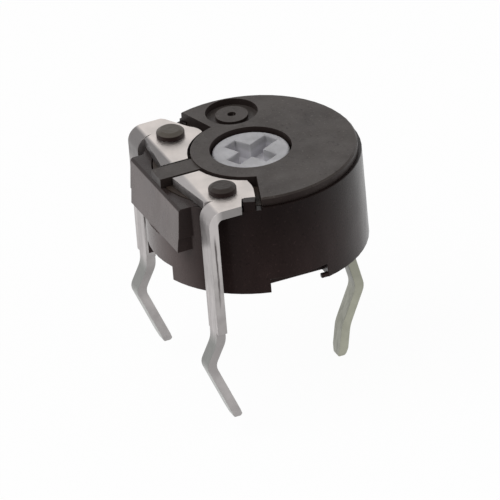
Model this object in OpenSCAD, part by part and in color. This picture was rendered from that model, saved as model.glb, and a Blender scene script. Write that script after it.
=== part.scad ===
// Closed carbon trimmer potentiometer for through-hole boards, standing upright.
// +Z runs up the rotor axis, +X points to the wiper pin, and the end pins stand at -X.
// The origin lies on the rotor axis, level with the tip of the wiper pin. Units are mm.

/* [Body] */
// Diameter of the round housing
body_d = 6.2; // [6:0.05:6.5]
// Height of the closed body, from the board seat to the top of the cover
body_h = 2.98; // [2.9:0.02:3.3]
// Thickness of the housing wall beside the cavity
wall_t = 0.40; // [0.35:0.05:0.45]
// Thickness of the housing floor
floor_t = 0.33; // [0.3:0.01:0.4]
// Height of the feet that hold the floor off the board
foot_h = 0.42; // [0.3:0.02:0.5]
// Width of the notches between the feet
notch_w = 1.73; // [1.4:0.05:2]

/* [Cover] */
// Thickness of the cover plate
cover_t = 0.33; // [0.3:0.01:0.4]
// Half angle of the sector that the cover leaves open for the terminals
sector_half = 72.5; // [70:0.5:76]
// Diameter of the raised ring round the rotor
ring_d = 3.4; // [3.2:0.05:3.5]

/* [Rotor] */
// Diameter of the turning disc in the cover
disc_d = 2.2; // [2.1:0.05:2.4]
// Diameter of the rotor's foot, which turns in the housing floor
pivot_d = 1.4; // [1.1:0.05:1.5]
// Running gap round both journals
run_gap = 0.06; // [0.04:0.01:0.08]
// Width of the screwdriver cross
cross_w = 0.46; // [0.35:0.05:0.5]
// Depth of the screwdriver cross
cross_depth = 0.5; // [0.4:0.05:0.6]
// Full turn between the two stops, in degrees
turn = 235; // [225:5:240]
// Angle of the rotor's pointer at rest, from the wiper pin
rest_angle = 27.5; // [-60:2.5:60]

/* [Terminals] */
// Distance between the two end pins, and between their row and the wiper pin
pin_pitch = 5; // [4.9:0.05:5.1]
// Thickness of the terminal sheet
sheet_t = 0.28; // [0.24:0.01:0.3]
// Width of each pin
pin_w = 0.5; // [0.45:0.05:0.6]
// Width of an end terminal above its shoulder
leg_w = 0.7; // [0.65:0.05:0.8]
// Reach of the end pins below the board seat
end_pin_l = 3.8; // [3.4:0.05:3.9]
// Reach of the wiper pin below the board seat
wiper_pin_l = 4.3; // [4.1:0.05:4.5]
// How far the snap-in kinks lean out of line
kink = 0.37; // [0.3:0.01:0.4]

/* [Track] */
// Thickness of the board that carries the carbon track
board_t = 0.28; // [0.25:0.01:0.35]
// Mean diameter of the carbon track
track_d = 3.5; // [3.4:0.05:3.6]
// Width of the carbon track
track_w = 0.5; // [0.4:0.05:0.6]

/* [Hidden] */

fine = 64;
cut = 0.01;
gap = 0.03;

// Levels, measured up from the board seat
seat_z = wiper_pin_l;
floor_z = foot_h + floor_t;
cover_z = body_h - cover_t;
board_z = cover_z - board_t;
film_t = 0.03;
stake_h = 0.22;
stake_top = cover_z + sheet_t + stake_h;

// Housing
body_r = body_d / 2;
cavity_r = body_r - wall_t;
board_r = cavity_r + 0.1;
foot_in_r = cavity_r - 0.5;
notch_in = cavity_r - 0.21;
toe_l = 0.2;
toe_t = 0.12;
toe_y = 0.02 - sqrt(body_r * body_r - notch_w * notch_w / 4);
lip_t = 0.08;
lip_z = cover_z + lip_t;
ledge_w = 0.1;

// Rotor
disc_r = disc_d / 2;
pivot_r = pivot_d / 2;
disc_drop = 0.11;
disc_top = body_h - disc_drop;
disc_chamfer = 0.05;
flange_t = 0.3;
flange_r = track_d / 2 + track_w / 2;
flange_z = board_z - 0.8;
spring_t = 0.1;
spring_z = flange_z + flange_t;
hub_r = pivot_r + 0.35;
contact_gap = 0.02;
lug_l = 0.4;
lug_half = 5;
stop_half = 180 - turn / 2 - lug_half - 0.5;

// Terminals
leg_x = -pin_pitch / 2 + 0.1;
wiper_x = pin_pitch / 2 + 0.1;
bend_r = 0.16;
kink_r = 0.16;
tip_chamfer = 0.08;
leg_y = pin_pitch / 2 - leg_w / 2 + 0.05;
tip_l = 0.3;
tip_w = 0.25;
rivet_r = 0.3;
rivet_a = 131.7;
rivet_circle = cavity_r - 0.22;
rivet_x = rivet_circle * cos(rivet_a);
rivet_y = rivet_circle * sin(rivet_a);
stake_r = 0.4;
stake_dome = 0.08;
collector_in_r = hub_r + 0.1;
collector_r = flange_r - 0.2;
brush_r = (collector_in_r + collector_r) / 2;

module at_seat() {
    translate([0, 0, seat_z])
        children();
}

// A flat sector that reaches far past the body, centred on angle a
module wedge(a, half, reach = 6) {
    rotate(a)
        polygon([[0, 0],
                 [reach * cos(half), -reach * sin(half)],
                 [reach, -reach * sin(half) / 2],
                 [reach, reach * sin(half) / 2],
                 [reach * cos(half), reach * sin(half)]]);
}

// Point on the curve that rounds the corner b between a and c
function curve_point(a, b, c, t) = (1 - t) * (1 - t) * a + 2 * t * (1 - t) * b + t * t * c;

// A point on the line from a to b, this far from a
function towards(a, b, far) = a + (b - a) * far / norm(b - a);

// The same path with its inner corners rounded off
function rounded(path, far) = [
    path[0],
    for (i = [1 : len(path) - 2], t = [0 : 0.25 : 1])
        curve_point(towards(path[i], path[i - 1], far), path[i], towards(path[i], path[i + 1], far), t),
    path[len(path) - 1]];

// Outline of a pin of thickness t along a path that runs down to its chamfered tip
function pin_outline(path, t) = let (
        last = len(path) - 1,
        tip = path[last],
        above = tip + [0, tip_chamfer])
    concat([for (i = [0 : last - 1]) path[i] - [t / 2, 0]],
           [above - [t / 2, 0], tip - [t / 2 - 0.05, 0], tip + [t / 2 - 0.05, 0], above + [t / 2, 0]],
           [for (i = [last - 1 : -1 : 0]) path[i] + [t / 2, 0]]);

// Stands a flat outline drawn in X and Z upright, from y = a to y = b
module upright(a, b) {
    translate([0, b, 0])
        rotate([90, 0, 0])
            linear_extrude(b - a)
                children();
}

// A pin of width w about the level y, with its corners cut back towards the tip
module pin(path, y, w) {
    tip = path[len(path) - 1];
    intersection() {
        upright(y - w / 2, y + w / 2)
            polygon(pin_outline(rounded(path, kink_r), sheet_t));
        translate([tip[0] - pin_pitch / 2, y, tip[1]])
            rotate([90, 0, 90])
                linear_extrude(pin_pitch)
                    polygon([[-tip_w / 2, 0],
                             [tip_w / 2, 0],
                             [w / 2 + cut, tip_l],
                             [w / 2 + cut, pin_pitch + 1],
                             [-w / 2 - cut, pin_pitch + 1],
                             [-w / 2 - cut, tip_l]]);
    }
}

// Side outline of a spring strip along a list of points
module band(path) {
    polygon(concat([for (p = path) [p[0], p[1] - spring_t / 2]],
                   [for (i = [len(path) - 1 : -1 : 0]) [path[i][0], path[i][1] + spring_t / 2]]));
}

module disc(r, low, high) {
    translate([0, 0, low])
        cylinder(r = r, h = high - low, $fn = fine);
}

// Quarter ring that turns a strip from level, above, to upright, at the left
module sheet_bend() {
    intersection() {
        difference() {
            circle(r = bend_r + sheet_t, $fn = fine);
            circle(r = bend_r, $fn = fine);
        }
        translate([-bend_r - sheet_t, 0])
            square(bend_r + sheet_t);
    }
}

// Sub-part: housing
block_half = 1.73;
block_out = 3.07;
block_in = cavity_r - 0.3;
block_draft = 0.11;
block_low = 1.27;
block_step = 1.72;
block_edge = 0.06;
clip_a = 66;
clip_w = 0.34;
clip_h = 0.3;

// How far out the block's drafted face stands at a level
function block_face(level) = block_out - block_draft * (level - block_low) / (cover_z - block_low);

module housing_shell() {
    difference() {
        disc(body_r, 0, lip_z);
        translate([0, 0, cover_z])
            linear_extrude(1)
                wedge(180, sector_half);
    }
    upright(-block_half, block_half)
        polygon([[-block_in, block_step],
                 [-block_face(block_step), block_step],
                 [-block_face(cover_z - block_edge), cover_z - block_edge],
                 [-block_face(cover_z) + block_edge, cover_z],
                 [-block_in, cover_z]]);
    upright(-block_half + block_edge, block_half - block_edge)
        polygon([[-block_in, block_low],
                 [-block_out, block_low],
                 [-block_face(block_step + cut), block_step + cut],
                 [-block_in, block_step + cut]]);
}

// The flat in front of the block cuts the round wall back to the block's face
module block_flat() {
    upright(-block_half, block_half)
        polygon([[-block_out, block_low],
                 [-block_out - 1, block_low],
                 [-block_out - 1, cover_z + cut],
                 [-block_face(cover_z) + block_edge, cover_z + cut],
                 [-block_face(cover_z) + block_edge, cover_z],
                 [-block_face(cover_z - block_edge), cover_z - block_edge]]);
}

module foot_notches() {
    for (a = [0, 90, 180, 270])
        rotate(a)
            translate([notch_in, -notch_w / 2, -cut])
                cube([wall_t + 1, notch_w, foot_h + cut]);
}

// Slot in the floor where the wiper pin's strip is bent down
module wiper_slot() {
    slot_in = wiper_x - sheet_t / 2 - bend_r - gap;
    slot_out = wiper_x + sheet_t / 2 + gap;
    translate([slot_in, -pin_w / 2 - gap, -cut])
        cube([slot_out - slot_in, pin_w + 2 * gap, floor_z + sheet_t + gap + cut]);
}

// Room beside the wall for the two legs
module leg_room() {
    for (side = [0, 1])
        mirror([0, side, 0])
            translate([-body_r - 1, leg_y - gap, -cut])
                cube([1 + body_r + leg_x + sheet_t / 2 + bend_r, 2, cover_z + 1]);
}

module stop_and_posts() {
    translate([0, 0, floor_z - cut])
        linear_extrude(spring_z - floor_z + cut)
            intersection() {
                wedge(180, stop_half);
                difference() {
                    circle(r = cavity_r + cut, $fn = fine);
                    circle(r = flange_r + run_gap, $fn = fine);
                }
            }
    for (side = [-1, 1])
        translate([rivet_x, side * rivet_y, 0]) {
            disc(rivet_r, spring_z - cut, cover_z + sheet_t + cut);
            disc(stake_r, cover_z + sheet_t, stake_top - stake_dome);
            translate([0, 0, stake_top - stake_dome])
                cylinder(r1 = stake_r, r2 = stake_r - 1.5 * stake_dome, h = stake_dome, $fn = fine);
        }
}

// Catch on the rim beside the first end terminal
module clip() {
    rotate(180 + clip_a)
        translate([cavity_r + 0.12, -clip_w / 2, cover_z - cut])
            cube([body_r - cavity_r - 0.13, clip_w, clip_h + cut]);
}

// Toe at the bottom corner of one foot, where the mould parts
module toe() {
    translate([notch_w / 2 - toe_l, toe_y, 0])
        cube([toe_l + cut, toe_t, toe_t]);
}

module housing() {
    color([0.16, 0.12, 0.11])
        at_seat() {
            difference() {
                housing_shell();
                disc(cavity_r, floor_z, body_h);
                disc(board_r, board_z, body_h);
                disc(pivot_r + run_gap, -cut, floor_z + cut);
                disc(foot_in_r, -cut, foot_h);
                foot_notches();
                block_flat();
                wiper_slot();
                leg_room();
            }
            stop_and_posts();
            clip();
            toe();
        }
}

// Sub-part: cover
ring_r = ring_d / 2;
edge_t = 0.05;
rib_half = 0.33;
rib_end = block_face(cover_z) - block_edge;
rib_drop = 0.05;
pocket_x = 0.33;
pocket_y = 2.14;
pocket_r = 0.74;
pocket_depth = 0.2;
boss_r = 0.46;
boss_drop = 0.08;
dimple_r = 0.12;

module cover_plate() {
    rotate_extrude($fn = fine)
        polygon([[0, cover_z],
                 [board_r - gap, cover_z],
                 [board_r - gap, lip_z],
                 [body_r - ledge_w, lip_z],
                 [body_r - ledge_w, body_h - edge_t],
                 [body_r - ledge_w - edge_t, body_h],
                 [0, body_h]]);
}

// Round pocket with a low boss in it, left by the moulding gate
module pocket() {
    translate([pocket_x, pocket_y, 0]) {
        difference() {
            disc(pocket_r, body_h - pocket_depth, body_h + cut);
            disc(boss_r, body_h - pocket_depth - cut, body_h - boss_drop);
        }
        disc(dimple_r, body_h - pocket_depth, body_h);
    }
}

module cover() {
    color([0.2, 0.16, 0.15])
        at_seat()
            difference() {
                union() {
                    difference() {
                        cover_plate();
                        translate([0, 0, cover_z - cut])
                            linear_extrude(cover_t + 2 * cut)
                                wedge(180, sector_half);
                    }
                    disc(ring_r, cover_z, body_h);
                    translate([-rib_end, -rib_half, cover_z])
                        cube([rib_end - ring_r + 0.1, 2 * rib_half, cover_t - rib_drop]);
                }
                disc(disc_r + run_gap, cover_z - cut, body_h + cut);
                pocket();
            }
}

// Sub-part: rotor
arm_l = 0.76;
pointer_l = 0.9;
brush_half = 0.13;
brush_run = 0.8;

module cross() {
    for (a = [0, 90, 180, 270])
        rotate(a)
            translate([0, -cross_w / 2, disc_top - cross_depth])
                cube([a == 0 ? pointer_l : arm_l, cross_w, cross_depth + cut]);
}

// Window that lets the brush reach down to the collector, opposite the pointer
module brush_window() {
    translate([-brush_r - brush_half - gap, -brush_run - gap, flange_z - 1])
        cube([2 * brush_half + 2 * gap, brush_run + 2 * gap, 2]);
}

module rotor() {
    color([0.86, 0.87, 0.88])
        at_seat()
            rotate(rest_angle)
                difference() {
                    union() {
                        disc(pivot_r, foot_h + gap, floor_z + gap);
                        disc(hub_r, floor_z + contact_gap, flange_z + cut);
                        disc(flange_r, flange_z, spring_z);
                        disc(disc_r, spring_z - cut, disc_top - disc_chamfer);
                        translate([0, 0, disc_top - disc_chamfer])
                            cylinder(r1 = disc_r, r2 = disc_r - disc_chamfer, h = disc_chamfer, $fn = fine);
                        translate([0, 0, flange_z])
                            linear_extrude(flange_t)
                                intersection() {
                                    wedge(0, lug_half);
                                    circle(r = flange_r + lug_l, $fn = fine);
                                }
                    }
                    cross();
                    brush_window();
                }
}

// Sub-part: wiper spring
finger_w = 0.15;
finger_l = 0.8;
finger_root = 0.5;
finger_tip = 0.1;
finger_r = [track_d / 2 - 0.16, track_d / 2 + 0.01];
spring_r = brush_r + 0.3;
brush_slope = 0.62;
track_z = board_z - film_t;

module wiper_spring() {
    mid = spring_z + spring_t / 2;
    tip = track_z - contact_gap - spring_t / 2;
    down = floor_z + sheet_t + contact_gap + spring_t / 2;
    color([0.8, 0.66, 0.4])
        at_seat()
            rotate(rest_angle) {
                difference() {
                    disc(spring_r, spring_z, spring_z + spring_t);
                    disc(disc_r + gap, spring_z - cut, spring_z + spring_t + cut);
                    brush_window();
                }
                // Two fingers rise to the carbon track at the pointer
                for (r = finger_r)
                    translate([r, 0, 0])
                        rotate([90, 0, 90])
                            linear_extrude(finger_w)
                                band([[-finger_l, mid], [-finger_root, mid],
                                      [-finger_tip, tip], [finger_tip, tip]]);
                translate([disc_r + 0.2, -finger_l, spring_z])
                    cube([finger_r[1] + finger_w - disc_r - 0.2, finger_l - finger_root, spring_t]);
                // One brush drops through the flange to the collector
                translate([-brush_r - brush_half, 0, 0])
                    rotate([90, 0, 90])
                        linear_extrude(2 * brush_half)
                            band([[0.1, mid], [0, mid], [-brush_slope, down], [-brush_run, down]]);
            }
}

// Sub-part: collector terminal, which ends in the wiper pin
wiper_kink = 0.21;
wiper_path = [[wiper_x, floor_z - bend_r + cut],
              [wiper_x, -1.2],
              [wiper_x + wiper_kink, -2.2],
              [wiper_x - 0.32, 0.95 - wiper_pin_l],
              [wiper_x - 0.47, -wiper_pin_l]];

module collector_terminal() {
    tab_end = wiper_x - sheet_t / 2 - bend_r;
    color([0.72, 0.71, 0.68])
        at_seat() {
            difference() {
                union() {
                    disc(collector_r, floor_z, floor_z + sheet_t);
                    translate([collector_r - 0.2, -pin_w / 2, floor_z])
                        cube([tab_end - collector_r + 0.2 + cut, pin_w, sheet_t]);
                }
                disc(collector_in_r, floor_z - cut, floor_z + sheet_t + cut);
            }
            upright(-pin_w / 2, pin_w / 2)
                translate([tab_end, floor_z - bend_r])
                    mirror([1, 0])
                        sheet_bend();
            pin(wiper_path, 0, pin_w);
        }
}

// Sub-parts: board, carbon track and silver pads
track_half = 120;
pad_r = 0.5;
hole_r = rivet_r + gap + film_t;

module rivet_place(side) {
    translate([rivet_x, side * rivet_y])
        children();
}

module track_ring() {
    difference() {
        circle(r = track_d / 2 + track_w / 2, $fn = fine);
        circle(r = track_d / 2 - track_w / 2, $fn = fine);
    }
}

module track_board() {
    color([0.36, 0.24, 0.15])
        at_seat()
            translate([0, 0, board_z])
                linear_extrude(board_t)
                    difference() {
                        circle(r = board_r - gap, $fn = fine);
                        circle(r = disc_r + 2 * run_gap, $fn = fine);
                        for (side = [-1, 1])
                            rivet_place(side)
                                circle(r = hole_r, $fn = fine);
                    }
}

module carbon_track() {
    color([0.1, 0.1, 0.1])
        at_seat()
            translate([0, 0, track_z])
                linear_extrude(film_t)
                    difference() {
                        track_ring();
                        wedge(180, 180 - track_half);
                    }
}

// Each pad lines the rivet hole up to the terminal that sits on the board
module silver_pad(side) {
    color([0.8, 0.8, 0.78])
        at_seat() {
            translate([0, 0, track_z])
                linear_extrude(film_t)
                    difference() {
                        intersection() {
                            union() {
                                rivet_place(side)
                                    circle(r = pad_r, $fn = fine);
                                rotate(side * rivet_a)
                                    translate([track_d / 2, -pad_r / 2])
                                        square([rivet_circle - track_d / 2, pad_r]);
                                intersection() {
                                    track_ring();
                                    wedge(side * 130, 10);
                                }
                            }
                            wedge(180, 180 - track_half);
                            circle(r = cavity_r - gap, $fn = fine);
                        }
                        rivet_place(side)
                            circle(r = rivet_r + gap, $fn = fine);
                    }
            translate([0, 0, board_z])
                linear_extrude(board_t)
                    rivet_place(side)
                        difference() {
                            circle(r = hole_r, $fn = fine);
                            circle(r = rivet_r + gap, $fn = fine);
                        }
        }
}

module silver_pad_1() {
    silver_pad(-1);
}

module silver_pad_2() {
    silver_pad(1);
}

// Sub-parts: end terminals
head_in = 0.4;
head_front = 0.92;
lobe_place = [0.36, 0.2];
lobe_r = 0.5;
head_margin = 0.1;
notched_back = [[0.86, 0.12], [0.86, -0.08], [0.83, -0.27], [0.68, -0.75], [0.32, -0.61], [0.135, -1.05]];
plain_back = [[0.84, 0.08], [0.75, -0.06], [0.57, -0.35], [0.43, -0.61], [0.24, -0.95], [0.14, -1.05]];
head_corner = [-0.69, 0.1];
shoulder_l = 0.95;
end_path = [[leg_x, 0],
            [leg_x, -1.25],
            [leg_x - kink, -1.95],
            [leg_x + 0.33, -end_pin_l]];

// Flat head whose edge beside the cover follows the points in back, told from the post
module head_outline(back) {
    bend_x = leg_x + sheet_t / 2 + bend_r;
    post = [rivet_x, -rivet_y];
    difference() {
        union() {
            translate(post + lobe_place)
                circle(r = lobe_r, $fn = fine);
            translate(post)
                circle(r = stake_r + head_margin, $fn = fine);
            polygon(concat([[rivet_x + back[0][0], -head_in]],
                           [for (p = back) p + post],
                           [[bend_x, -leg_y - leg_w],
                            [bend_x, -leg_y],
                            [rivet_x, -leg_y] + head_corner,
                            [rivet_x - head_front, -head_in]]));
        }
        circle(r = ring_r + 0.08, $fn = fine);
        translate(post)
            circle(r = rivet_r + gap, $fn = fine);
    }
}

module end_terminal(back) {
    at_seat() {
        translate([0, 0, cover_z])
            linear_extrude(sheet_t)
                head_outline(back);
        upright(-leg_y - leg_w, -leg_y) {
            translate([leg_x + sheet_t / 2 + bend_r, cover_z - bend_r])
                sheet_bend();
            translate([leg_x - sheet_t / 2, -shoulder_l])
                square([sheet_t, cover_z - bend_r + shoulder_l + cut]);
        }
        pin(end_path, -pin_pitch / 2, pin_w);
    }
}

module end_terminal_1() {
    color([0.8, 0.79, 0.76])
        end_terminal(notched_back);
}

module end_terminal_2() {
    color([0.8, 0.79, 0.76])
        mirror([0, 1, 0])
            end_terminal(plain_back);
}

housing();
cover();
rotor();
wiper_spring();
collector_terminal();
track_board();
carbon_track();
silver_pad_1();
silver_pad_2();
end_terminal_1();
end_terminal_2();
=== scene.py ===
import math

import bpy
from mathutils import Matrix, Vector


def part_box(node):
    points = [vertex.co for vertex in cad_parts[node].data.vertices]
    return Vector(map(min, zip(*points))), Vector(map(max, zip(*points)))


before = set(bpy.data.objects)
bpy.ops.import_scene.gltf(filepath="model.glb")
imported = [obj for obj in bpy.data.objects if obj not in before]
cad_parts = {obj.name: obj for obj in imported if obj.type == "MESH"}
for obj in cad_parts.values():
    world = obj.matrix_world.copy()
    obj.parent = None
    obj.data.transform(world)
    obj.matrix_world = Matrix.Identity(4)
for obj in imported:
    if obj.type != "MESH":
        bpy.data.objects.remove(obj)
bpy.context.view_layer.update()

# ---------------------------------------------------------------------------------------------
# Housing: the round cup that everything sits in, with four feet, a flat-fronted block between
# the end pins and two posts that were staked hot over the end terminals. It is one compression
# moulding in dark brown thermoset, satin from the mould, its edges paler from wear and a painted
# highlight.

MM = 0.001
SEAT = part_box("housing")[0].z / MM
STAKE_X, STAKE_Y, STAKE_R = -1.65, 1.85, 0.46
STAKE_LOW = SEAT + 2.96
# Painted shade under the cover's rim runs over these heights
SHADE_UNDER_RIM = (SEAT + 0.6, SEAT + 2.6)
WALL_DARK = (0.0135, 0.0080, 0.0073)
WALL_PALE = (0.0235, 0.0143, 0.0134)
# Painted shade in the reflections: the mouldings reflect a tenth of their surroundings, standing in for
# the dark in front of the cup
DIMMED_REFLECTION = (0.10, 0.08, 0.08, 1)
# Painted light on the end pins' side of the cup: its tone, where it starts along x, and the least of it
# there
LIT_SIDE_TONE = (0.16, 0.126, 0.121)
LIT_SIDE_FROM = (-2.5, -2.2)
LEAST_SIDE_LIGHT = 0.12
MELTED = (0.034, 0.028, 0.025)
MELTED_PALE = (0.084, 0.074, 0.063)
# Relief: how many waves to a millimetre, and how deep in millimetres
WAVES = (0.8, 0.012)
GRAIN = (16, 0.0022)
LUMPS = (4.5, 0.02)


def add(tree, kind, **given):
    """One node: a name that is a property sets it, and any other feeds the input of that name."""
    node = tree.nodes.new(kind)
    for name, value in given.items():
        if name in node.bl_rna.properties:
            setattr(node, name, value)
    for name, value in given.items():
        if name not in node.bl_rna.properties:
            feed(tree, node.inputs[name.replace("_", " ")], value)
    return node


def feed(tree, socket, value):
    """Links an output to a socket, or sets the socket's own value."""
    if isinstance(value, bpy.types.NodeSocket):
        tree.links.new(value, socket)
    else:
        socket.default_value = value


def start_material(name, **settings):
    """A material with those shader settings, and its position in millimetres to draw by."""
    material = bpy.data.materials.new(name)
    material.use_nodes = True
    tree = material.node_tree
    shader = tree.nodes["Principled BSDF"]
    for setting, value in settings.items():
        shader.inputs[setting.replace("_", " ")].default_value = value
    place = add(tree, "ShaderNodeTexCoord").outputs["Object"]
    in_mm = add(tree, "ShaderNodeVectorMath", operation="SCALE", Vector=place, Scale=1 / MM)
    return material, tree, shader, in_mm.outputs["Vector"]


def noise(tree, place, scale, detail=3.0, rough=0.5, stretch=(1, 1, 1)):
    """Noise from 0 to 1 with that many waves to a millimetre, drawn out along the small axes."""
    moved = add(tree, "ShaderNodeVectorMath", operation="MULTIPLY", Vector=place)
    moved.inputs[1].default_value = stretch
    cloud = add(tree, "ShaderNodeTexNoise", Vector=moved.outputs[0], Scale=scale, Detail=detail)
    cloud.inputs["Roughness"].default_value = rough
    return cloud.outputs["Fac"]


def between(tree, value, low, high, at=(0.3, 0.7)):
    """Carries a value that runs over the range at onto the range from low to high."""
    ranged = add(tree, "ShaderNodeMapRange", Value=value,
                 From_Min=at[0], From_Max=at[1], To_Min=low, To_Max=high)
    return ranged.outputs["Result"]


def arithmetic(tree, operation, *values):
    """One sum on two or three numbers."""
    sum_node = add(tree, "ShaderNodeMath", operation=operation)
    for socket, value in zip(sum_node.inputs, values):
        feed(tree, socket, value)
    return sum_node.outputs[0]


def blend(tree, factor, first, second):
    """The first colour where the factor is 0, and the second where it is 1."""
    mixed = add(tree, "ShaderNodeMix", data_type="RGBA")
    for place, value in ((0, factor), (6, first), (7, second)):
        feed(tree, mixed.inputs[place], (*value, 1) if isinstance(value, tuple) else value)
    return mixed.outputs[2]


def times(colour, factor):
    """A colour made lighter or darker."""
    return tuple(channel * factor for channel in colour)


def apart(tree, vector):
    """The three numbers of a position or a direction, by the names X, Y and Z."""
    return add(tree, "ShaderNodeSeparateXYZ", Vector=vector).outputs


def facing_way(tree):
    """The direction that the surface faces, as three numbers from -1 to 1."""
    return apart(tree, add(tree, "ShaderNodeTexCoord").outputs["Normal"])


def edge_reach(tree, radius):
    """1 on an edge and 0 away from it by that many millimetres: the reach of wear, and on the mouldings
    of a painted edge highlight.
    """
    rounded = add(tree, "ShaderNodeBevel", samples=6, Radius=radius * MM)
    flat = add(tree, "ShaderNodeNewGeometry").outputs["True Normal"]
    facing = add(tree, "ShaderNodeVectorMath", operation="DOT_PRODUCT")
    feed(tree, facing.inputs[0], rounded.outputs["Normal"])
    feed(tree, facing.inputs[1], flat)
    return between(tree, facing.outputs["Value"], 1.0, 0.0, at=(0.8, 0.98))


def raise_surface(tree, shader, *heights):
    """Bumps over those before them: each is a height from 0 to 1 and its depth in millimetres."""
    for height, depth in heights:
        bump = add(tree, "ShaderNodeBump", Height=height, Distance=depth * MM, Strength=1.0)
        for link in shader.inputs["Normal"].links:
            feed(tree, bump.inputs["Normal"], link.from_socket)
        feed(tree, shader.inputs["Normal"], bump.outputs["Normal"])


def moulded_brown(name, dark, pale, gloss, flow):
    """Thermoset as it leaves the mould: mottled brown, a fine grain, specks, pits, and edges paler from
    wear and a painted edge highlight.
    Its roughness runs over gloss, and flow draws its mottle out along the small axes."""
    material, tree, shader, mm = start_material(name, IOR=1.54, Specular_Tint=DIMMED_REFLECTION)
    mottle = between(tree, noise(tree, mm, 0.9, detail=5, stretch=flow), 0.0, 1.0, at=(0.35, 0.65))
    body = blend(tree, mottle, dark, pale)
    speck = between(tree, noise(tree, mm, 14, detail=2), 0.0, 0.6, at=(0.62, 0.75))
    body = blend(tree, speck, body, times(pale, 2.1))
    pit = between(tree, noise(tree, mm, 9, detail=2), 0.0, 0.7, at=(0.36, 0.28))
    body = blend(tree, pit, body, times(dark, 0.5))
    # Paler edges: partly wear, partly a painted edge highlight
    edge = arithmetic(tree, "MULTIPLY", edge_reach(tree, 0.035), 0.4)
    body = blend(tree, edge, body, times(pale, 2.6))
    feed(tree, shader.inputs["Base Color"], body)
    haze = noise(tree, mm, 2.2, detail=6, rough=0.6, stretch=flow)
    feed(tree, shader.inputs["Roughness"], between(tree, haze, *gloss))
    waves = noise(tree, mm, WAVES[0], detail=1)
    grain = noise(tree, mm, GRAIN[0], detail=3)
    raise_surface(tree, shader, (waves, WAVES[1]), (grain, GRAIN[1]))
    return material, tree, shader, mm, body


# Faces under THIN_FACE square millimetres and points nearer than WELD_GAP millimetres are leftovers
THIN_FACE = 3e-5
WELD_GAP = 0.0005
FLAT_ANGLE, SHARP_ANGLE, CREASE_ANGLE = math.radians(0.5), math.radians(28), math.radians(33)


def without_slivers():
    """Nodes for a modifier that leaves out faces with hardly any area, which would catch the bevel."""
    group = bpy.data.node_groups.new("without_slivers", "GeometryNodeTree")
    for way in ("INPUT", "OUTPUT"):
        group.interface.new_socket("Geometry", in_out=way, socket_type="NodeSocketGeometry")
    thin = add(group, "FunctionNodeCompare", data_type="FLOAT", operation="LESS_THAN")
    feed(group, thin.inputs[0], add(group, "GeometryNodeInputMeshFaceArea").outputs[0])
    feed(group, thin.inputs[1], THIN_FACE * MM ** 2)
    drop = add(group, "GeometryNodeDeleteGeometry", domain="FACE")
    feed(group, drop.inputs["Geometry"], add(group, "NodeGroupInput").outputs[0])
    feed(group, drop.inputs["Selection"], thin.outputs[0])
    feed(group, add(group, "NodeGroupOutput").inputs[0], drop.outputs[0])
    return group


SLIVERS = without_slivers()


def finish_node(name, material, edge, held=True):
    """Gives a CAD node its material and eases its sharp edges by that many millimetres. If held,
    they are eased by less where a face is narrower than that."""
    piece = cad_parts[name]
    piece.data.attributes.remove(piece.data.attributes["custom_normal"])
    piece.data.polygons.foreach_set("use_smooth", [True] * len(piece.data.polygons))
    piece.data.materials.clear()
    piece.data.materials.append(material)
    weld = piece.modifiers.new("weld", "WELD")
    weld.merge_threshold = WELD_GAP * MM
    piece.modifiers.new("slivers", "NODES").node_group = SLIVERS
    flat = piece.modifiers.new("flat", "DECIMATE")
    flat.decimate_type = "DISSOLVE"
    flat.angle_limit = FLAT_ANGLE
    bevel = piece.modifiers.new("bevel", "BEVEL")
    bevel.width = edge * MM
    bevel.segments = 2
    bevel.limit_method = "ANGLE"
    bevel.angle_limit = SHARP_ANGLE
    bevel.use_clamp_overlap = held
    bevel.harden_normals = True
    split = piece.modifiers.new("split", "EDGE_SPLIT")
    split.split_angle = CREASE_ANGLE


def near_stakes(tree, place):
    """1 on the two stake heads and 0 elsewhere."""
    aside = arithmetic(tree, "SUBTRACT", place["X"], STAKE_X)
    across = arithmetic(tree, "SUBTRACT", arithmetic(tree, "ABSOLUTE", place["Y"]), STAKE_Y)
    across_squared = arithmetic(tree, "POWER", across, 2.0)
    away_squared = arithmetic(tree, "ADD", arithmetic(tree, "POWER", aside, 2.0), across_squared)
    within = between(tree, away_squared, 1.0, 0.0, at=(STAKE_R ** 2 * 0.95, STAKE_R ** 2 * 1.05))
    above = between(tree, place["Z"], 0.0, 1.0, at=(STAKE_LOW - 0.05, STAKE_LOW))
    return arithmetic(tree, "MULTIPLY", within, above)


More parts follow.
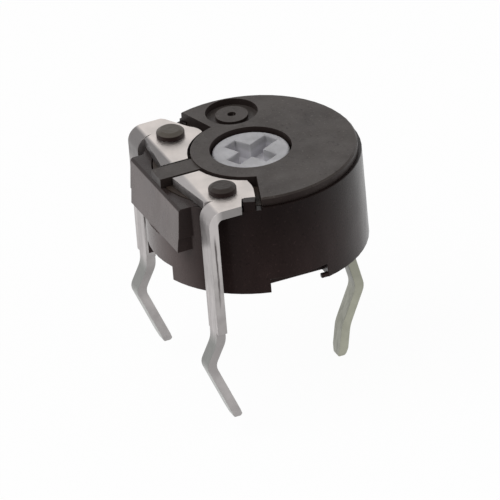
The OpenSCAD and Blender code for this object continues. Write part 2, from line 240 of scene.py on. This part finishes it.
def housing_material():
    """The moulding, paler on the side by the end pins with painted light, darker under the cover's rim
    with painted shade, and with its stake heads melted rough.
    """
    material, tree, shader, mm, body = moulded_brown(
        "housing_brown", WALL_DARK, WALL_PALE, gloss=(0.2, 0.34), flow=(1, 1, 0.35))
    facing, place = facing_way(tree), apart(tree, mm)
    faces_lit_side = between(tree, facing["X"], 1.0, 0.0, at=(-0.98, -0.72))
    # Painted shade: the wall darkens towards the top, under the cover's rim
    body = blend(tree, between(tree, place["Z"], 0.0, 0.55, at=SHADE_UNDER_RIM), body, (0, 0, 0))
    # Painted light: past the end pins' side the cup is paler, most on faces turned that way, standing in
    # for light from that side
    outside = between(tree, place["X"], 1.0, 0.0, at=LIT_SIDE_FROM)
    side_light = between(tree, noise(tree, mm, 0.9, detail=5), 0.48, 0.66)
    side_light = arithmetic(tree, "MAXIMUM", arithmetic(tree, "MULTIPLY", side_light, faces_lit_side), LEAST_SIDE_LIGHT)
    body = blend(tree, arithmetic(tree, "MULTIPLY", side_light, outside), body, LIT_SIDE_TONE)
    melted = near_stakes(tree, place)
    stake = blend(tree, between(tree, place["Y"], 0.0, 1.0, at=(-1, 1)), MELTED, MELTED_PALE)
    stake = blend(tree, between(tree, facing["Z"], 0.0, 1.0, at=(0.3, 0.8)), WALL_DARK, stake)
    feed(tree, shader.inputs["Base Color"], blend(tree, melted, body, stake))
    rough = shader.inputs["Roughness"].links[0].from_socket
    feed(tree, shader.inputs["Roughness"], arithmetic(tree, "MULTIPLY_ADD", melted, 0.18, rough))
    lumps = arithmetic(tree, "MULTIPLY", melted, noise(tree, mm, LUMPS[0], detail=2))
    raise_surface(tree, shader, (lumps, LUMPS[1]))
    return material


finish_node("housing", housing_material(), edge=0.02, held=False)

# ---------------------------------------------------------------------------------------------
# Cover: the lid that closes the cup round the rotor and leaves a sector open for the terminals,
# with the gate's pocket near its far edge. It is pressed in the same thermoset, matt and greyer
# on its top, with a fine grain from the mould.

LID_DARK = (0.0335, 0.0278, 0.0252)
LID_PALE = (0.0555, 0.0480, 0.0440)


def cover_material():
    """The moulding, matt on its top, with painted shade that darkens its sides as dark as the cup."""
    material, tree, shader, mm, body = moulded_brown(
        "cover_brown", LID_DARK, LID_PALE, gloss=(0.36, 0.5), flow=(1, 1, 1))
    # Painted shade: faces that don't look up are darkened toward the cup's colour
    side = between(tree, facing_way(tree)["Z"], 0.7, 0.0, at=(0.3, 0.8))
    feed(tree, shader.inputs["Base Color"], blend(tree, side, body, WALL_DARK))
    return material


finish_node("cover", cover_material(), edge=0.03)

# ---------------------------------------------------------------------------------------------
# Rotor: the turning disc with a screwdriver cross and, out of sight, the flange that carries the
# spring. It is injection-moulded in pale grey plastic, slightly waxy, scuffed round the cross.

ROTOR_PALE = (0.45, 0.445, 0.46)
ROTOR_GREY = (0.31, 0.305, 0.315)
ROTOR_SCUFF = (0.21, 0.21, 0.215)
# The slot's paler tone is painted light
ROTOR_SLOT = (0.53, 0.52, 0.55)
SLOT_TOP = SEAT + 2.7


def rotor_material():
    """Pale plastic that is greyer in broad clouds and scuffed along the edges of its cross."""
    material, tree, shader, mm = start_material("rotor_grey", IOR=1.45, Subsurface_Weight=0.4)
    shader.inputs["Subsurface Radius"].default_value = (0.0003, 0.0003, 0.00035)
    cloud = between(tree, noise(tree, mm, 1.4, detail=5), 0.0, 1.0, at=(0.35, 0.65))
    body = blend(tree, cloud, ROTOR_GREY, ROTOR_PALE)
    scratch = between(tree, noise(tree, mm, 3.0, detail=4, stretch=(6, 1, 1)), 0.0, 0.35, at=(0.6, 0.7))
    body = blend(tree, scratch, body, ROTOR_SCUFF)
    # Painted light: below the slot's top the plastic is paler, lifting the shade inside the cross
    in_slot = between(tree, apart(tree, mm)["Z"], 0.8, 0.0, at=(SLOT_TOP - 0.1, SLOT_TOP))
    body = blend(tree, in_slot, body, ROTOR_SLOT)
    edge = arithmetic(tree, "MULTIPLY", edge_reach(tree, 0.03), 0.3)
    body = blend(tree, edge, body, ROTOR_SCUFF)
    feed(tree, shader.inputs["Base Color"], body)
    haze = noise(tree, mm, 3.0, detail=6, rough=0.6)
    feed(tree, shader.inputs["Roughness"], between(tree, haze, 0.35, 0.5))
    waves = noise(tree, mm, 1.6, detail=2)
    grain = noise(tree, mm, 18, detail=3)
    raise_surface(tree, shader, (waves, 0.012), (grain, 0.0015))
    return material


finish_node("rotor", rotor_material(), edge=0.045)

# ---------------------------------------------------------------------------------------------
# Wiper spring: the ring on the rotor's flange, with two fingers on the carbon track and a brush
# on the collector. It is stamped from thin bronze strip, drawn dull by its heat treatment.

BRONZE = (0.62, 0.43, 0.22)
BRONZE_DULL = (0.42, 0.27, 0.14)


def strip_material(name, bright, dull, rough, stretch):
    """Bare metal strip with rolling lines, cloudy tarnish and a fine grain."""
    material, tree, shader, mm = start_material(name, Metallic=1.0)
    cloud = between(tree, noise(tree, mm, 1.8, detail=5), 0.0, 1.0, at=(0.35, 0.65))
    body = blend(tree, cloud, dull, bright)
    lines = noise(tree, mm, 5.0, detail=3, stretch=stretch)
    body = blend(tree, between(tree, lines, 0.0, 0.5, at=(0.5, 0.7)), body, times(dull, 0.8))
    feed(tree, shader.inputs["Base Color"], body)
    haze = noise(tree, mm, 3.0, detail=6, rough=0.6)
    feed(tree, shader.inputs["Roughness"], between(tree, haze, *rough))
    raise_surface(tree, shader, (lines, 0.002), (noise(tree, mm, 20, detail=3), 0.0012))
    return material


bronze = strip_material("bronze", BRONZE, BRONZE_DULL, rough=(0.28, 0.42), stretch=(1, 6, 6))
finish_node("wiper_spring", bronze, edge=0.01)

# ---------------------------------------------------------------------------------------------
# Collector terminal: the ring on the cup's floor, whose tab is bent down to make the wiper pin.
# Like the end terminals it is punched from tinned steel strip: satin on the rolled faces, dark and
# streaky on the sheared sides, and tarnished to an olive grey down its pin.

TIN = (0.66, 0.605, 0.575)
TIN_CLOUD = (0.55, 0.51, 0.485)
TIN_BREAK = (0.055, 0.045, 0.043)
WIPER_LEG = (0.36, 0.36, 0.31)
WIPER_SIDE = (0.34, 0.34, 0.28)
WIPER_PIN = (0.33, 0.33, 0.285)
HEAD_LOW = SEAT + 2.6
SHEET_CENTRE = -2.40
OUTSIDE_FROM = -2.3
KINK = SEAT - 1.6
TORN_FROM, TORN_TO = SEAT - 0.5, SEAT + 2.3


def tinned_strip(name, leg, side, pin, bend_shade=1.0):
    """Tinned strip: clean on top, darker down its leg from tarnish and painted shade, greener on its
    pin, with painted shade where it is bent and in the kink, and a torn line along its sheared sides."""
    material, tree, shader, mm = start_material(name, Metallic=1.0)
    facing, place = facing_way(tree), apart(tree, mm)
    across, level = place["X"], place["Z"]
    cloud = between(tree, noise(tree, mm, 1.4, detail=5), 0.0, 1.0, at=(0.35, 0.65))
    body = blend(tree, cloud, TIN_CLOUD, TIN)
    lines = noise(tree, mm, 4.0, detail=4, rough=0.6, stretch=(2.5, 2.5, 0.22))
    # Below the heads and outside the cup the strip takes its leg and pin colours, darker than the tin:
    # partly tarnish and rolling lines, partly painted shade for the dark the legs reflect
    bare = blend(tree, between(tree, level, 1.0, 0.0, at=(KINK - 0.1, KINK + 0.5)), leg, pin)
    dull = blend(tree, between(tree, lines, 0.0, 0.26, at=(0.35, 0.65)), bare, (0, 0, 0))
    outside = between(tree, across, 1.0, 0.0, at=(OUTSIDE_FROM, OUTSIDE_FROM + 0.1))
    below = between(tree, level, 1.0, 0.0, at=(HEAD_LOW - 0.4, HEAD_LOW))
    body = blend(tree, arithmetic(tree, "MAXIMUM", outside, below), body, dull)
    above = between(tree, level, 0.0, 1.0, at=(HEAD_LOW - 0.9, HEAD_LOW - 0.3))
    # Painted shade: on the outside, just under the head, the strip takes its leg colour darkened by the
    # shade factor
    body = blend(tree, arithmetic(tree, "MULTIPLY", outside, above), body, times(leg, bend_shade))
    # Painted shade in the kink: faces and sheared sides darken towards the kink's middle
    kink = arithmetic(tree, "ABSOLUTE", arithmetic(tree, "SUBTRACT", level, KINK))
    kink_shade = between(tree, kink, 0.9, 0.0, at=(0.25, 0.65))
    body = blend(tree, kink_shade, body, times(pin, 0.46))
    sheared = between(tree, arithmetic(tree, "ABSOLUTE", facing["Y"]), 0.0, 1.0, at=(0.75, 0.9))
    edge = blend(tree, cloud, times(side, 0.82), times(side, 1.1))
    upper = between(tree, level, 0.0, 0.7, at=(SEAT + 0.4, SEAT + 2.2))
    edge = blend(tree, upper, edge, times(side, 1.4))
    edge = blend(tree, kink_shade, edge, times(side, 0.8))
    body = blend(tree, sheared, body, edge)
    # The heads' sheared edges are darker than the legs' sheared sides: partly the bare cut edge, partly
    # painted shade
    head_side = between(tree, arithmetic(tree, "ABSOLUTE", facing["Z"]), 1.0, 0.0, at=(0.2, 0.5))
    in_head = between(tree, level, 0.0, 1.0, at=(HEAD_LOW, HEAD_LOW + 0.05))
    inside = between(tree, across, 0.0, 1.0, at=(OUTSIDE_FROM, OUTSIDE_FROM + 0.2))
    head_side = arithmetic(tree, "MULTIPLY", arithmetic(tree, "MULTIPLY", head_side, in_head), inside)
    body = blend(tree, head_side, body, times(side, 0.6))
    wobble = arithmetic(tree, "MULTIPLY_ADD", noise(tree, mm, 1.2, detail=3), 0.12, -0.06 - SHEET_CENTRE)
    off_line = arithmetic(tree, "ABSOLUTE", arithmetic(tree, "ADD", across, wobble))
    torn = between(tree, off_line, 1.0, 0.0, at=(0.012, 0.04))
    gaps = noise(tree, mm, 3.2, detail=4, stretch=(1, 1, 0.4))
    torn = arithmetic(tree, "MULTIPLY", torn, between(tree, gaps, 0.05, 0.85, at=(0.42, 0.6)))
    from_below = between(tree, level, 0.0, 1.0, at=(TORN_FROM, TORN_FROM + 0.5))
    to_above = between(tree, level, 1.0, 0.0, at=(TORN_TO - 0.4, TORN_TO))
    torn = arithmetic(tree, "MULTIPLY", torn, arithmetic(tree, "MULTIPLY", from_below, to_above))
    body = blend(tree, arithmetic(tree, "MULTIPLY", sheared, torn), body, TIN_BREAK)
    feed(tree, shader.inputs["Base Color"], body)
    haze = between(tree, noise(tree, mm, 3.0, detail=6, rough=0.6), 0.3, 0.46)
    feed(tree, shader.inputs["Roughness"], arithmetic(tree, "MULTIPLY_ADD", sheared, 0.12, haze))
    waves = noise(tree, mm, 1.2, detail=2)
    grain = noise(tree, mm, 20, detail=3)
    raise_surface(tree, shader, (waves, 0.014), (lines, 0.006), (grain, 0.0016))
    return material


tinned = tinned_strip("tin_wiper", WIPER_LEG, WIPER_SIDE, WIPER_PIN)
finish_node("collector_terminal", tinned, edge=0.03)

# ---------------------------------------------------------------------------------------------
# Track board: the ring of resin-bonded paper under the cover, with the track printed on its
# underside. It is punched from dark brown sheet, dull on its punched edge and fibrous.

BOARD_DARK = (0.016, 0.010, 0.007)
BOARD_PALE = (0.034, 0.022, 0.015)


def layered_board():
    """Paper and resin in thin level layers, with loose fibres."""
    material, tree, shader, mm = start_material("board_brown", IOR=1.45)
    layers = noise(tree, mm, 2.0, detail=3, stretch=(0.6, 0.6, 14))
    body = blend(tree, between(tree, layers, 0.0, 1.0, at=(0.35, 0.65)), BOARD_DARK, BOARD_PALE)
    fibre = between(tree, noise(tree, mm, 6.0, detail=3, stretch=(1, 4, 4)), 0.0, 0.5, at=(0.6, 0.72))
    body = blend(tree, fibre, body, times(BOARD_PALE, 1.8))
    feed(tree, shader.inputs["Base Color"], body)
    feed(tree, shader.inputs["Roughness"], between(tree, noise(tree, mm, 4, detail=4), 0.5, 0.7))
    raise_surface(tree, shader, (layers, 0.006), (noise(tree, mm, 15, detail=3), 0.003))
    return material


finish_node("track_board", layered_board(), edge=0.02)

# ---------------------------------------------------------------------------------------------
# Carbon track: the printed arc that the fingers run on. It is resistive ink, baked dull black,
# with a faint polished lane where the fingers rub.

CARBON = (0.012, 0.012, 0.013)
CARBON_PALE = (0.022, 0.022, 0.024)
LANE_IN, LANE_OUT, LANE_FADE = 1.59, 1.91, 0.04


def baked_ink():
    """Dull ink with a slightly glossier lane down the middle of the arc."""
    material, tree, shader, mm = start_material("carbon_ink", IOR=1.5)
    body = blend(tree, between(tree, noise(tree, mm, 5, detail=4), 0.0, 1.0), CARBON, CARBON_PALE)
    feed(tree, shader.inputs["Base Color"], body)
    flat = add(tree, "ShaderNodeVectorMath", operation="MULTIPLY", Vector=mm)
    flat.inputs[1].default_value = (1, 1, 0)
    away = add(tree, "ShaderNodeVectorMath", operation="LENGTH", Vector=flat.outputs[0]).outputs["Value"]
    past_inner = between(tree, away, 0.0, 1.0, at=(LANE_IN - LANE_FADE, LANE_IN + LANE_FADE))
    short_of_outer = between(tree, away, 1.0, 0.0, at=(LANE_OUT - LANE_FADE, LANE_OUT + LANE_FADE))
    rubbed = arithmetic(tree, "MULTIPLY", past_inner, short_of_outer)
    grain = between(tree, noise(tree, mm, 12, detail=3), 0.55, 0.7)
    feed(tree, shader.inputs["Roughness"], arithmetic(tree, "MULTIPLY_ADD", rubbed, -0.2, grain))
    raise_surface(tree, shader, (noise(tree, mm, 16, detail=3), 0.003))
    return material


finish_node("carbon_track", baked_ink(), edge=0.005)

# ---------------------------------------------------------------------------------------------
# Silver pads: the printed ends of the track, which line the two rivet holes and join the track to
# the end terminals. They are silver paste, pale and matt.

SILVER = (0.78, 0.77, 0.74)
SILVER_DULL = (0.55, 0.53, 0.49)

paste = strip_material("silver_paste", SILVER, SILVER_DULL, rough=(0.45, 0.6), stretch=(2, 2, 2))
for name in ("silver_pad_1", "silver_pad_2"):
    finish_node(name, paste, edge=0.005)

# ---------------------------------------------------------------------------------------------
# End terminals: one flat head each, staked on its post, and a leg bent down the outside of the cup
# to a kinked snap-in pin. They are punched from the same tinned strip as the collector.

# Leg colours, darker than the heads' tin: partly tarnish, partly painted shade
END_LEG = (0.52, 0.49, 0.485)
END_SIDE = (0.40, 0.380, 0.375)
END_PIN = (0.50, 0.505, 0.485)
# Painted shade on each end terminal's bent shoulder, the far one darker
END_BEND_SHADES = (0.7, 0.36)

for number, bend_shade in enumerate(END_BEND_SHADES, start=1):
    tinned = tinned_strip(f"tin_end_{number}", END_LEG, END_SIDE, END_PIN, bend_shade)
    finish_node(f"end_terminal_{number}", tinned, edge=0.03)

# ---------------------------------------------------------------------------------------------
# Stage: a level white floor under the wiper pin's tip, and a white room. Both look white to the
# camera and in reflections. The floor keeps a soft shadow, and from below it can be seen through.

FLOOR_HALF = 0.5
FLOOR_WHITE = 0.86
FLOOR_GLOW = 0.96
ROOM_LIGHT = 0.5

floor_mesh = bpy.data.meshes.new("floor")
corners = [(x * FLOOR_HALF, y * FLOOR_HALF, 0) for x, y in ((-1, -1), (1, -1), (1, 1), (-1, 1))]
floor_mesh.from_pydata(corners, [], [(0, 1, 2, 3)])
floor = bpy.data.objects.new("floor", floor_mesh)
bpy.context.scene.collection.objects.link(floor)

paper = bpy.data.materials.new("paper")
paper.use_nodes = True
tree = paper.node_tree
matt = add(tree, "ShaderNodeBsdfDiffuse", Color=(FLOOR_WHITE, FLOOR_WHITE, FLOOR_WHITE, 1))
glow = add(tree, "ShaderNodeEmission", Color=(1, 1, 1, 1), Strength=1.0)
path = add(tree, "ShaderNodeLightPath")
seen = arithmetic(tree, "MAXIMUM", path.outputs["Is Camera Ray"], path.outputs["Is Glossy Ray"])
paper_mix = add(tree, "ShaderNodeMixShader")
feed(tree, paper_mix.inputs[0], arithmetic(tree, "MULTIPLY", seen, FLOOR_GLOW))
feed(tree, paper_mix.inputs[1], matt.outputs[0])
feed(tree, paper_mix.inputs[2], glow.outputs[0])
one_sided = add(tree, "ShaderNodeMixShader")
feed(tree, one_sided.inputs[0], add(tree, "ShaderNodeNewGeometry").outputs["Backfacing"])
feed(tree, one_sided.inputs[1], paper_mix.outputs[0])
feed(tree, one_sided.inputs[2], add(tree, "ShaderNodeBsdfTransparent").outputs[0])
feed(tree, tree.nodes["Material Output"].inputs["Surface"], one_sided.outputs[0])
floor_mesh.materials.append(paper)

world = bpy.data.worlds.new("world")
bpy.context.scene.world = world
world.use_nodes = True
tree = world.node_tree
path = add(tree, "ShaderNodeLightPath")
seen = arithmetic(tree, "MAXIMUM", path.outputs["Is Camera Ray"], path.outputs["Is Glossy Ray"])
seen = arithmetic(tree, "MAXIMUM", seen, path.outputs["Is Transmission Ray"])
feed(tree, tree.nodes["Background"].inputs["Color"], (1, 1, 1, 1))
feed(tree, tree.nodes["Background"].inputs["Strength"], between(tree, seen, ROOM_LIGHT, 1.0, at=(0, 1)))


def softbox(name, place, size, power):
    """A square lamp that looks at the middle of the part."""
    lamp = bpy.data.lights.new(name, "AREA")
    lamp.shape = "SQUARE"
    lamp.size = size
    lamp.energy = power
    stand = bpy.data.objects.new(name, lamp)
    bpy.context.scene.collection.objects.link(stand)
    stand.location = place
    stand.rotation_euler = (Vector((0, 0, SEAT * MM)) - Vector(place)).to_track_quat("-Z", "Y").to_euler()


softbox("key", place=(-0.16, -0.02, 0.22), size=0.2, power=0.35)
softbox("fill", place=(0.18, -0.2, 0.12), size=0.22, power=0.12)

# ---------------------------------------------------------------------------------------------
# Camera: level with no perspective to speak of, so it is orthographic, turned a little in its
# own plane, and aimed a little below the middle of the cover's top.

AZIMUTH, ELEVATION, ROLL = math.radians(-110.7), math.radians(29.2), math.radians(5.0)
VIEW_WIDTH = 13.97
TOP_ABOVE_SEAT = 2.98
AIM_RIGHT, AIM_UP = -0.015, -2.88
CAMERA_DISTANCE = 0.2

outward = Vector((math.cos(AZIMUTH), math.sin(AZIMUTH), 0))
back = outward * math.cos(ELEVATION) + Vector((0, 0, math.sin(ELEVATION)))
level = Vector((0, 0, 1)).cross(back).normalized()
upward = back.cross(level)
camera_x = level * math.cos(ROLL) - upward * math.sin(ROLL)
camera_y = level * math.sin(ROLL) + upward * math.cos(ROLL)
aim = Vector((0, 0, (SEAT + TOP_ABOVE_SEAT) * MM)) + (camera_x * AIM_RIGHT + camera_y * AIM_UP) * MM
place = aim + back * CAMERA_DISTANCE
camera = bpy.data.objects.new("camera", bpy.data.cameras.new("camera"))
bpy.context.scene.collection.objects.link(camera)
camera.data.type = "ORTHO"
camera.data.ortho_scale = VIEW_WIDTH * MM
camera.data.clip_start = 0.01
camera.data.clip_end = 10
turned = Matrix((camera_x, camera_y, back)).transposed().to_4x4()
camera.matrix_world = Matrix.Translation(place) @ turned
bpy.context.scene.camera = camera
bpy.context.scene.view_settings.view_transform = "Standard"
